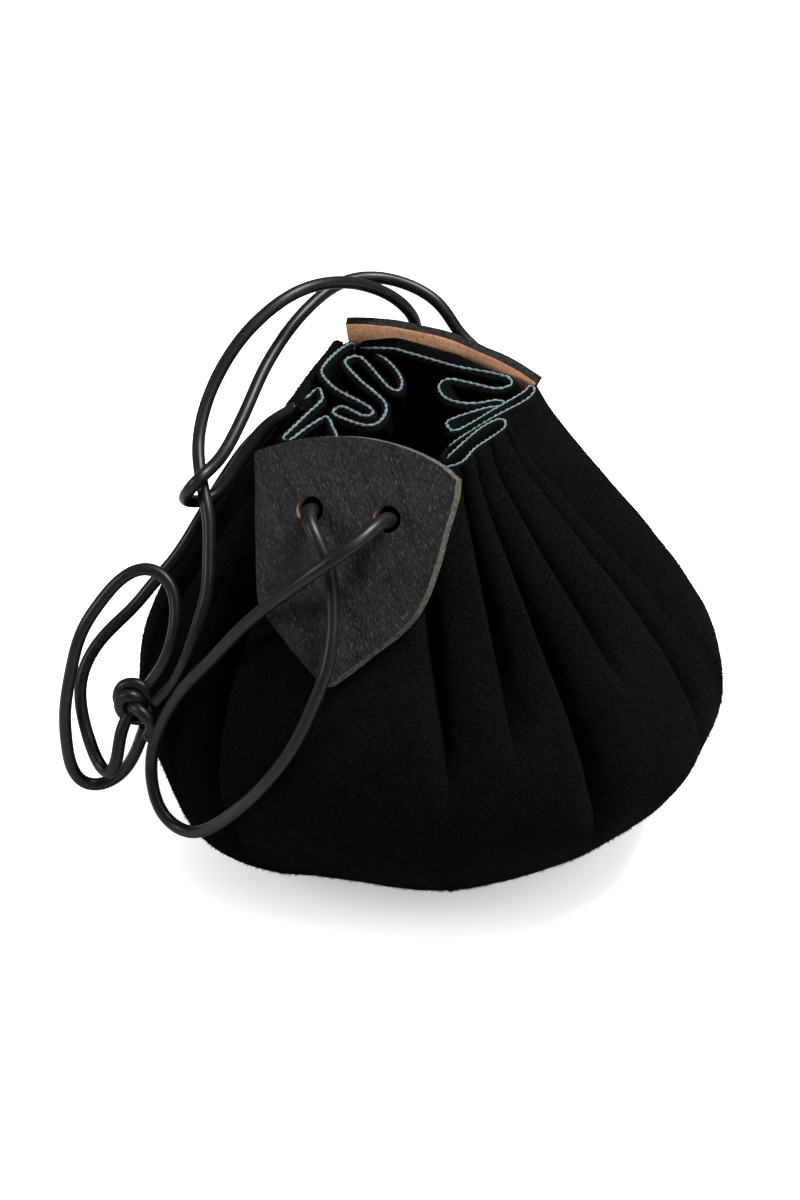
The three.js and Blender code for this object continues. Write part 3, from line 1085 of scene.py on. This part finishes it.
@dataclass
class SuedeBag:
    """The gathered bag: one wall of suede from its flat bottom to the folded line of its mouth.

    Each span gives where a form sets in and where it is full, by height, direction or place.
    """

    wall: float = 2
    belly_radius: float = 94
    rim_wall: float = 3.2
    rim_wall_rise: Span = (118, 144)
    rim_round: float = 0.9
    pleats: int = 44
    pleat_depth: float = 1.4
    pleat_rise: Span = (96, 128)
    pleat_share: float = 0.65
    pleat_change: tuple[Lump, ...] = (Lump(0.6, 9.8, 8.8),)
    pleat_drift: tuple[Lump, ...] = (Lump(0.6, 14, 3.9),)
    lap: float = 0.12
    lap_reach: float = 8
    lap_power: float = 0.7
    slit: float = 0.95
    slit_width: float = 1.5
    slit_power: float = 1.5
    slope: float = 0.55
    slope_power: float = 1.6
    shade_steep: float = 2.2
    shade_power: float = 1.3
    crowding: float = 1.8
    crowding_reach: float = 2.4
    neck_share: float = 0.5
    neck_middle: Place = (-8.0, -2.0, 0.0)
    neck_rise: Span = (70, 115)
    neck_fall: Span = (150, 141)
    back_lift: float = 2.8
    back_start: Span = (150, 162)
    back_end: Span = (203, 200)
    turned_low: Span = (147.6, 146.8)
    turned_start: Span = (225.4, 226.6)
    turned_end: Span = (303, 300)
    roll: Place = (4.2, 0.0, 3.6)
    roll_from: float = 138
    roll_left: Span = (-38, -42)
    roll_back: Span = (40, 36)
    waves: tuple[Lump, ...] = (Lump(1.0, 42, 4.2), Lump(0.5, 17, 9.1))
    wave_rise: Span = (6, 36)
    fuzz: tuple[Lump, ...] = (Lump(0.14, 5.5, 2.3), Lump(0.12, 2.4, 6.6))
    fuzz_rise: Span = (4, 12)
    nap_count: int = 45000
    nap_length: Span = (0.5, 1.2)
    nap_width: float = 0.15
    nap_out: float = 0.8
    nap_fall: float = 0.45
    nap_spread: float = 0.4
    nap_seed: int = 11
    columns: int = 640
    fine_columns: int = 4000
    wall_rows: int = 108
    bottom_rows: int = 5
    bottom_sections: int = 2
    inner_stride: int = 4
    core_width: float = 1.0
    core_lift: float = 0.81
    core_sunk: float = 2.16
    core_inset: float = 0.6
    core_step: float = 0.4
    twist_pitch: float = 2.6
    twist_sides: int = 8
    twist_swell: Span = (0.8, 0.28)
    twist_lumps: tuple[Lump, ...] = (Lump(0.22, 3.1, 7.7),)

    @cached_property
    def rows(self) -> Points:
        """The sections that the rows of points stand at.

        Returns:
            The height, the share of the radius and the gather of each row.
        """
        table = np.array(SECTIONS, float)
        bottom = np.linspace(0, self.bottom_sections, self.bottom_rows, endpoint=False)
        wall = np.linspace(self.bottom_sections, len(table) - 1, self.wall_rows)
        read = smooth_table(table, np.concatenate([bottom, wall]))
        return np.clip(read, (self.wall / 2, 0, 0), (np.inf, np.inf, 1))

    @cached_property
    def line(self) -> Points:
        """The line of the mouth, where the columns crowd together at the creases.

        Returns:
            The direction in degrees and the place on the line of each column of points.
        """
        table = np.array(MOUTH, float)
        once = np.array((360, 0, 0, 0))
        closed = np.vstack([table[-2:] - once, table, table[:3] + once])
        fine = smooth_table(closed, np.linspace(2, len(table) + 2, self.fine_columns, endpoint=False))
        step = np.linalg.norm(np.diff(fine[:, 1:], axis=0, append=fine[:1, 1:]), axis=1)
        swing = np.diff(fine[:, 0], append=fine[0, 0] + 360)
        weight = step / step.sum() + np.maximum(swing, 0) / 360
        for crease in CREASES:
            away = past(fine[:, 0], crease.turn) / self.crowding_reach
            weight *= 1 + self.crowding * np.exp(-(away**2))
        along = np.concatenate([[0], np.cumsum(weight)[:-1]])
        return read_line(fine, along, np.linspace(0, weight.sum(), self.columns, endpoint=False))

    @property
    def turn(self) -> Points:
        """Each column's direction at the mouth."""
        return self.line[:, 0]

    @property
    def mouth(self) -> Points:
        """Each column's place on the mouth's line."""
        return self.line[:, 1:]

    def middle(self, tabs: list[Tab]) -> Points:
        """Works out the suede's middle layer.

        Args:
            tabs: The tabs that it lies behind.

        Returns:
            Rows of points from the bottom to the mouth, in millimetres.
        """
        height, out, gather = (column[:, None] for column in self.rows.T)
        loose = 1 - gather**3
        angle = np.radians(self.turn + self._drift() * (1 - height / TOP))
        lap, folds, _ = self.creases
        angle = angle + lap / self.belly_radius * loose
        radius = self.belly_radius * out - self._dents() * loose
        belly = np.stack([np.sin(angle) * radius, -np.cos(angle) * radius, radius * 0 + height], axis=-1)
        rim = np.stack(np.broadcast_arrays(self.mouth[None, :, 0], self.mouth[None, :, 1], height), axis=-1)
        points = mix(belly, rim, gather[..., None])
        points[..., 2] += (self.mouth[None, :, 2] - TOP) * gather
        drawn = rise(height, *self.neck_rise) * rise(height, *self.neck_fall)
        inward = unit(np.array(self.neck_middle) - points * np.array((1, 1, 0)))
        points = points + inward * (self.neck_share * drawn * folds)[..., None]
        outer = rise(self.mouth[:, 0], *self.roll_left) * rise(self.mouth[:, 1], *self.roll_back)
        rolled = self._turned_over() * outer * rise(height, self.roll_from, TOP) ** 2
        points = points + rolled[..., None] * np.array(self.roll)
        points = self._roughened(points)
        for tab in tabs:
            points = tab.seat(points, self.wall)
        return points

    def _turned_over(self) -> Points:
        """Returns how far the mouth's edge is turned over and hides its core, from 0 to 1."""
        left = rise(self.turn, *self.turned_start) * rise(self.turn, *self.turned_end)
        return np.maximum(rise(self.mouth[:, 2], *self.turned_low), left)

    def _folded_back(self) -> Points:
        """Returns how far the outer half of the mouth's edge stands up behind its core, from 0 to 1."""
        return rise(self.turn, *self.back_start) * rise(self.turn, *self.back_end)

    def _drift(self) -> Points:
        """Returns how far each column leans round the belly, so that it follows the creases."""
        ways = sorted((crease.turn % 360, crease.low_turn - crease.turn) for crease in CREASES)
        return np.interp(self.turn % 360, *zip(*ways), period=360)

    @cached_property
    def creases(self) -> tuple[Points, Points, Points]:
        """What the creases do at each row and column.

        Returns:
            How far the folds' edges lap over the valleys beside them and how deep the valleys are, both in
            millimetres, and how much painted shade darkens the valleys for the light they lose, from 0 to 1.
        """
        height = self.rows[:, :1]
        lap, depth, lost = np.zeros((3, len(height), self.columns))
        for crease in CREASES:
            share = rise(height, crease.foot, mix(crease.foot, TOP, 0.5))
            full = share**2 * (3 - 2 * share)
            reach = np.radians(past(self.turn, crease.turn)) * self.belly_radius
            uphill = -crease.side * reach
            beyond = np.maximum(uphill - crease.steep, 0) / self.lap_reach
            edge = rise(uphill, 0, crease.steep) ** self.lap_power * np.exp(-(beyond**2))
            lap += crease.side * self.lap * crease.depth * full * edge
            beside = np.where(reach < 0, 1 + reach / crease.before, 1 - reach / crease.after)
            slope = self.slope * np.clip(beside, 0, 1) ** self.slope_power
            slit = self.slit * rise(np.abs(reach), self.slit_width * crease.steep, 0) ** self.slit_power
            depth += crease.depth * full * (slope + slit)
            # Painted shade: darkest at the valley, fading over shaded on the long side and shade_steep on
            # the steep side
            away = np.abs(reach) / np.where(uphill < 0, crease.shaded, self.shade_steep)
            lost = np.maximum(lost, full * np.exp(-(away**self.shade_power)))
        return lap, depth, lost

    def _dents(self) -> Points:
        """Works out how far the creases, the flat places and the neck's pleats press the belly in.

        Returns:
            The depth at each row and column.
        """
        height, out = self.rows[:, :1], self.rows[:, 1:2]
        depth = self.creases[1].copy()
        for press in PRESSES:
            away, above = past(self.turn, press.turn) / press.across, (height - press.height) / press.up
            depth += press.depth * np.exp(-(away**2) - above**2)
        place = np.stack([self.turn, 0 * self.turn, 0 * self.turn], axis=-1)
        phase = self.turn / 360 * self.pleats + lumpy(place, self.pleat_drift)
        pleat = (1 - np.abs(np.sin(math.pi * phase))) * (self.pleat_share + lumpy(place, self.pleat_change))
        return (depth + self.pleat_depth * rise(height, *self.pleat_rise) * pleat) * np.minimum(out, 1)

    def normals(self, points: Points) -> Points:
        """Finds which way is out of the wall.

        Args:
            points: The points of a layer, by row and column.

        Returns:
            The outward direction of each point.
        """
        along = np.roll(points, -1, axis=1) - np.roll(points, 1, axis=1)
        outward = unit(np.cross(along, np.gradient(points, axis=0)))
        outward[points[..., 2] <= self.wall / 2 + 0.01] = (0, 0, -1)
        return outward

    def _roughened(self, points: Points) -> Points:
        """Moves the layer a little in and out, as soft suede lies.

        Args:
            points: The layer's points.

        Returns:
            The points, moved along the layer's own normals.
        """
        height, gather = self.rows[:, :1], self.rows[:, 2:]
        push = rise(height, *self.wave_rise) * (1 - 0.9 * gather) * lumpy(points, self.waves)
        push += rise(height, *self.fuzz_rise) * (1 - 0.5 * gather) * lumpy(points, self.fuzz)
        return points + self.normals(points) * push[..., None]

    def build(self, tabs: list[Tab]) -> tuple[Object, Object, Object]:
        """Makes the bag's wall, its nap and the pale core that shows along its cut rim.

        Args:
            tabs: The tabs that it lies behind.

        Returns:
            The bag's object, the nap's and the rim's.
        """
        layer = self.middle(tabs)
        outward = self.normals(layer)
        half = mix(self.wall, self.rim_wall, rise(layer[..., 2:], *self.rim_wall_rise)) / 2
        outside, inside = layer + outward * half, layer - outward * half
        count, columns = layer.shape[:2]
        kept = sorted({0, *range(count - 1, 0, -self.inner_stride)})
        mouth_up = np.array((0, 0, self.rim_round))
        standing = self._folded_back()[:, None]
        stand_up = standing * np.array((0, 0, self.back_lift))
        rim = [
            mix(outside[-1], inside[-1], share)
            + mouth_up * math.sin(math.pi * share) ** 0.6
            + stand_up * (share < 0.5)
            for share in (0.06, 0.2, 0.38, 0.62, 0.8, 0.94)
        ]
        rings = [*outside, *rim, *inside[kept[::-1]]]
        points = np.concatenate([*rings, [[0, 0, 0]], [[0, 0, self.wall]]])
        faces = ring_faces(len(rings), columns)
        centre, last = len(rings) * columns, (len(rings) - 1) * columns
        for column in range(columns):
            after = (column + 1) % columns
            faces.append((centre, after, column))
            faces.append((centre + 1, last + column, last + after))
        bag = new_piece("pouch_bag", points, faces)
        # Painted shade: the valleys' share on the outside wall
        lost = np.zeros((len(rings), columns))
        lost[:count] = self.creases[2]
        # The inside layer and the inner bottom are painted fully in shade
        lost[count + len(rim) + 1 :] = 1
        self._mark(bag, np.concatenate([lost.ravel(), [0, 1]]))
        nap = self._nap(outside, outward, lost)
        core = layer[-1] - outward[-1] * self.core_inset * standing
        core[:, 2] += self.core_lift - self.core_sunk * self._turned_over()
        return bag, nap, self._rim(core)

    def _mark(self, piece: Object, lost: Points) -> None:
        """Keeps the painted shade at each of a piece's points as an attribute, for its loss of light."""
        piece.data.attributes.new(PAINTED_SHADE, "FLOAT", "POINT").data.foreach_set("value", lost)

    def _nap(self, outside: Points, outward: Points, lost: Points) -> Object:
        """Makes the short loose fibres that stand out from the suede.

        Args:
            outside: The wall's outer points.
            outward: Their outward directions.
            lost: The painted shade at each point, for its loss of light.

        Returns:
            The nap's object, a thin closed spike for each fibre.
        """
        chance = np.random.default_rng(self.nap_seed)
        count, columns = outside.shape[:2]
        single = (self.nap_count, 1)
        row = chance.integers(self.bottom_rows + 2, count - 4, self.nap_count)
        column = chance.integers(0, columns, self.nap_count)
        start = outside[row, column]
        to_side = outside[row, (column + 1) % columns] - start
        to_top = outside[row + 1, column] - start
        foot = start + to_side * chance.random(single) + to_top * chance.random(single)
        away = outward[row, column]
        astray = chance.normal(0, self.nap_spread, (self.nap_count, 3))
        lean = unit(self.nap_out * away + np.array((0, 0, -self.nap_fall)) + astray)
        side = unit(np.cross(lean, away)) * self.nap_width / 2
        front = unit(np.cross(lean, side)) * self.nap_width / 2
        tip = foot + lean * chance.uniform(*self.nap_length, single)
        points = np.stack([foot + side - front, foot + front, foot - side - front, tip], axis=1)
        spike = np.array(((2, 1, 0), (0, 1, 3), (1, 2, 3), (2, 0, 3)))
        faces = spike[None] + 4 * np.arange(self.nap_count)[:, None, None]
        nap = new_piece("suede_nap", points.reshape(-1, 3), faces.reshape(-1, 3).tolist())
        # The fibres take the painted shade of the wall beneath them
        self._mark(nap, np.repeat(lost[row, column], 4))
        return nap

    def _rim(self, line: Points) -> Object:
        """Makes the rim's pale core, a line of fibres that twist like a thread.

        Args:
            line: The middle of the cut edge, closed.

        Returns:
            The rim's object.
        """
        closed = evenly(np.vstack([line, line[:1]]), self.core_step)[:-1]
        count = len(closed)
        along = unit(np.roll(closed, -1, axis=0) - np.roll(closed, 1, axis=0))
        across = unit(np.cross(along, (0.0, 0.0, 1.0)))
        upward = np.cross(across, along)
        angles = np.linspace(0, 2 * math.pi, self.twist_sides, endpoint=False)
        turns = round((count - 1) * self.core_step / self.twist_pitch)
        phase = 2 * math.pi * turns * np.arange(count) / count
        even, twisted = self.twist_swell
        swell = even + twisted * np.cos(angles * 2 - phase[:, None])
        swell *= (1 + lumpy(closed, self.twist_lumps))[:, None]
        ways = across[:, None] * np.cos(angles)[:, None] + upward[:, None] * np.sin(angles)[:, None]
        rings = closed[:, None] + (self.core_width / 2 * swell)[..., None] * ways
        return new_piece("rim_core", rings.reshape(-1, 3), ring_faces(count, self.twist_sides, True))

    def dress(self, pieces: dict[Object, Material]) -> None:
        """Gives the bag, its nap and its rim their finishes and sets them in the frame.

        Args:
            pieces: The material of each piece, the bag first.
        """
        for piece, material in pieces.items():
            piece.data.materials.append(material)
            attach(piece, BODY)
        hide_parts("pouch_body")


@dataclass
class Cord:
    """A round leather cord along a route."""

    name: str
    route: tuple[Place, ...]
    diameter: float = 4
    stiffness: float = 4.5
    end_swell: float = 0
    swell_reach: float = 34
    end_trim: float = 0.25
    end_share: float = 0.86
    sides: int = 20
    step: float = 0.8
    lumps: tuple[Lump, ...] = (Lump(0.02, 14, 3.3), Lump(0.012, 4, 8.4))
    piece: Object | None = None

    @cached_property
    def line(self) -> Points:
        """The cord's middle line in millimetres."""
        line = route_curve(np.array(self.route, float), self.step)
        return settled(line, self.stiffness / self.step)

    def length(self) -> float:
        """Returns the cord's length in millimetres."""
        return float(lengths_along(self.line)[-1])

    def _outward(self, along: Points) -> Points:
        """Carries a ring's two axes along the line without twist.

        Args:
            along: The line's direction at each ring.

        Returns:
            The outward direction of each point of each ring.
        """
        across = np.cross(along[0], (0.3, 0.5, 0.8))
        angles = np.linspace(0, 2 * math.pi, self.sides, endpoint=False)[:, None]
        outward = []
        for direction in along:
            across = unit(across - direction * (across @ direction))
            other = np.cross(direction, across)
            outward.append(across * np.cos(angles) + other * np.sin(angles))
        return np.array(outward)

    def build(self) -> None:
        """Makes the cord's tube, a little uneven, with rounded cut ends and a UV map."""
        line = self.line
        along = unit(np.gradient(line, axis=0))
        number = np.arange(len(line))
        from_end = np.minimum(number, number[::-1]) * self.step / self.swell_reach
        radius = self.diameter / 2 * (1 + lumpy(line, self.lumps))
        radius *= 1 + self.end_swell * np.exp(-(from_end**2))
        rings = line[:, None] + self._outward(along) * radius[:, None, None]
        first = mix(line[0], rings[0], self.end_share) - along[0] * self.end_trim
        final = mix(line[-1], rings[-1], self.end_share) + along[-1] * self.end_trim
        stack = np.concatenate([first[None], rings, final[None]])
        faces = ring_faces(len(stack), self.sides)
        last = (len(stack) - 1) * self.sides
        faces.append(tuple(range(self.sides))[::-1])
        faces.append(tuple(range(last, last + self.sides)))
        self.piece = new_piece(self.name + "_run", stack.reshape(-1, 3), faces)
        self._unroll()

    def _unroll(self) -> None:
        """Gives the cord a UV map: round it and along it, in metres."""
        mesh = self.piece.data
        layer = mesh.uv_layers.new(name="unrolled")
        ring, side = np.divmod(np.array([loop.vertex_index for loop in mesh.loops]), self.sides)
        starts, totals = np.array([(face.loop_start, face.loop_total) for face in mesh.polygons]).T
        first_side = np.repeat(side[starts], totals)
        side = np.where((first_side == self.sides - 1) & (side == 0), self.sides, side)
        round_it = side / self.sides * math.pi * self.diameter * MM
        layer.data.foreach_set("uv", np.stack([round_it, ring * self.step * MM], axis=1).ravel())

    def dress(self, leather: Material) -> None:
        """Gives the cord its finish and sets it in the frame.

        Args:
            leather: The cord's material.
        """
        self.piece.data.materials.append(leather)
        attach(self.piece, BODY)
        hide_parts(self.name)

    def declare(self) -> None:
        """Works out the cord's line and length in metres, and keeps neither.
        """
        line = self.line * MM
        self.length() * MM


@dataclass
class Studio:
    """The camera, the pale floor and the soft lights. The lights and the floor are in metres."""

    distance: float = 1010
    azimuth: float = 20
    elevation: float = 30
    lens: float = 93.42
    aim: Place = (-10.86, 1.39, 78.70)
    floor_size: float = 9.0
    # The floor's camera-only glow under the pouch and in the open, and how far the painted contact shadow
    # reaches
    painted_floor_glow: Span = (0.45, 0.95)
    painted_shadow_reach: float = 0.022
    light_aim: Place = (0, 0, 0.08)
    daylight: float = 0.13

    @property
    def across(self) -> Vector:
        """The way to the viewer's right."""
        azimuth = math.radians(self.azimuth)
        return Vector((math.cos(azimuth), math.sin(azimuth), 0))

    @property
    def back(self) -> Vector:
        """The way to the viewer.

        Returns:
            A direction of length 1.
        """
        azimuth, elevation = math.radians(self.azimuth), math.radians(self.elevation)
        level = math.cos(elevation)
        return Vector((math.sin(azimuth) * level, -math.cos(azimuth) * level, math.sin(elevation)))

    def camera(self) -> None:
        """Puts the camera where the photograph was taken."""
        data = bpy.data.cameras.new("camera")
        data.lens = self.lens
        data.sensor_width = 36
        data.clip_start, data.clip_end = 0.01, 50
        camera = bpy.data.objects.new("camera", data)
        camera.location = (Vector(self.aim) + self.back * self.distance) * MM
        camera.rotation_mode = "QUATERNION"
        camera.rotation_quaternion = (-self.back).to_track_quat("-Z", "Y")
        bpy.context.scene.collection.objects.link(camera)
        bpy.context.scene.camera = camera

    def softbox(self, name: str, place: Place, size: float, power: float) -> None:
        """Adds a square soft light that faces the pouch.

        Args:
            name: The light's name.
            place: Where it hangs, in metres.
            size: Its side in metres.
            power: Its power in watts.
        """
        data = bpy.data.lights.new(name, "AREA")
        data.shape = "SQUARE"
        data.size = size
        data.energy = power
        light = bpy.data.objects.new(name, data)
        light.location = place
        light.rotation_mode = "QUATERNION"
        light.rotation_quaternion = (Vector(self.light_aim) - Vector(place)).to_track_quat("-Z", "Y")
        bpy.context.scene.collection.objects.link(light)

    def floor(self) -> None:
        """Lays the pale floor, which glows for the camera only; the glow is weaker close under the pouch, a
        painted contact shadow.
        """
        bpy.ops.object.select_all(action="DESELECT")
        bpy.ops.mesh.primitive_plane_add(size=self.floor_size)
        floor = bpy.context.object
        floor.name = "floor"
        material, kit = new_material("pale_floor")
        cloud = kit.cloud(kit.add("TexCoord").outputs["Object"], 3.0, 2.0).outputs[0]
        pale = kit.ramp(cloud, (0.3, (0.56, 0.545, 0.535)), (0.7, (0.57, 0.555, 0.545)))
        # Painted contact shadow: the glow drops from open_floor to under where the floor is hemmed in near
        # the pouch
        clear = kit.add("AmbientOcclusion", {"samples": 4}, Distance=self.painted_shadow_reach).outputs["AO"]
        under, open_floor = self.painted_floor_glow
        glow = kit.sum("ADD", kit.sum("MULTIPLY", clear, open_floor - under), under)
        # The glow is seen by the camera only: painted brightness that lights nothing
        seen = kit.add("LightPath").outputs["Is Camera Ray"]
        shader = kit.add("BsdfPrincipled", Base_Color=pale, Roughness=0.9, Specular_IOR_Level=0.1)
        kit.feed(shader.inputs["Emission Color"], (1.0, 0.985, 0.975))
        kit.feed(shader.inputs["Emission Strength"], kit.sum("MULTIPLY", seen, glow))
        kit.add("OutputMaterial", Surface=shader.outputs[0])
        floor.data.materials.append(material)

    def light(self) -> None:
        """Sets plain white surroundings and hangs the soft lights."""
        world = bpy.data.worlds.new("studio")
        world.use_nodes = True
        kit = NodeKit(world.node_tree)
        sky = kit.add("Background", Color=(1.0, 1.0, 1.0), Strength=self.daylight)
        kit.add("OutputWorld", Surface=sky.outputs[0])
        bpy.context.scene.world = world
        bpy.context.scene.view_settings.view_transform = "Standard"
        self.softbox("top", (0.45, 0.15, 1.25), 0.46, 43)
        self.softbox("right", (1.0, -0.4, 0.85), 0.5, 5.5)
        self.softbox("left", (-0.85, -0.7, 0.6), 0.4, 7)

    def build(self) -> None:
        """Sets up the whole studio."""
        self.camera()
        self.floor()
        self.light()


def build_tabs(fibres: EffectGroup, grain: EffectGroup) -> list[Tab]:
    """Makes the two tabs.

    Args:
        fibres: The group for raw leather.
        grain: The group for smooth leather.

    Returns:
        The tabs' sizes and places.
    """
    faces = {
        TabFace.GRAIN: TAB_LEATHER.material(grain),
        TabFace.FLESH: FLESH.material(fibres),
        TabFace.EDGE: RAW_EDGE.material(fibres),
        TabFace.HOLE: HOLE_RIM.material(fibres),
    }
    front = Tab("front_tab", TAB_PLACES["front_tab"])
    back = Tab(
        "back_tab", TAB_PLACES["back_tab"], arch=1, slant_right=0, slant_top=1.6, corner_worn=0.4, curl=0.9
    )
    for tab, edge in ((front, faces[TabFace.EDGE]), (back, DARK_EDGE.material(fibres))):
        tab.build()
        tab.dress({**faces, TabFace.EDGE: edge})
        report(tab.piece)
    return [front, back]


def build_bag(tabs: list[Tab], fibres: EffectGroup) -> None:
    """Makes the suede bag behind its tabs.

    Args:
        tabs: The tabs that it lies behind.
        fibres: The group for napped leather.
    """
    maker = SuedeBag()
    bag, nap, rim = maker.build(tabs)
    suede = SUEDE.material(fibres)
    maker.dress({bag: suede, nap: suede, rim: RIM_FIBRE.material(fibres)})
    for piece in (bag, nap, rim):
        report(piece)


def knot_route(studio: Studio) -> tuple[Place, ...]:
    """Sets the knot's turns in the pouch's own frame.

    Args:
        studio: The studio, for the photo's directions.

    Returns:
        The points of the knot's route.
    """
    across, back = studio.across, studio.back
    up, middle = back.cross(across), Vector(KNOT_MIDDLE)
    return tuple(tuple(middle + across * a + up * u + back * b) for a, u, b in KNOT_TURNS)


def build_cords(grain: EffectGroup, studio: Studio) -> None:
    """Makes the drawcord's visible runs and its knot.

    Args:
        grain: The group for smooth leather.
        studio: The studio, whose view the knot's turns are given in.
    """
    leather = CORD_LEATHER.material(grain)
    knot = Cord("cord_knot", knot_route(studio), stiffness=0.8)
    knot.build()
    knot.dress(leather)
    report(knot.piece)
    for name, route in ROUTES.items():
        cord = Cord(name, route, end_swell=0.2 if name == "front_cord" else 0)
        cord.build()
        cord.dress(leather)
        cord.declare()
        report(cord.piece)


def main() -> None:
    """Builds the studio and the pouch in order."""
    logging.basicConfig(level=logging.INFO, format="%(name)s: %(message)s")
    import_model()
    studio = Studio()
    studio.build()
    fibres, grain = fibre_group(), grain_group()
    build_cords(grain, studio)
    tabs = build_tabs(fibres, grain)
    build_bag(tabs, fibres)


if __name__ == "__main__":
    main()
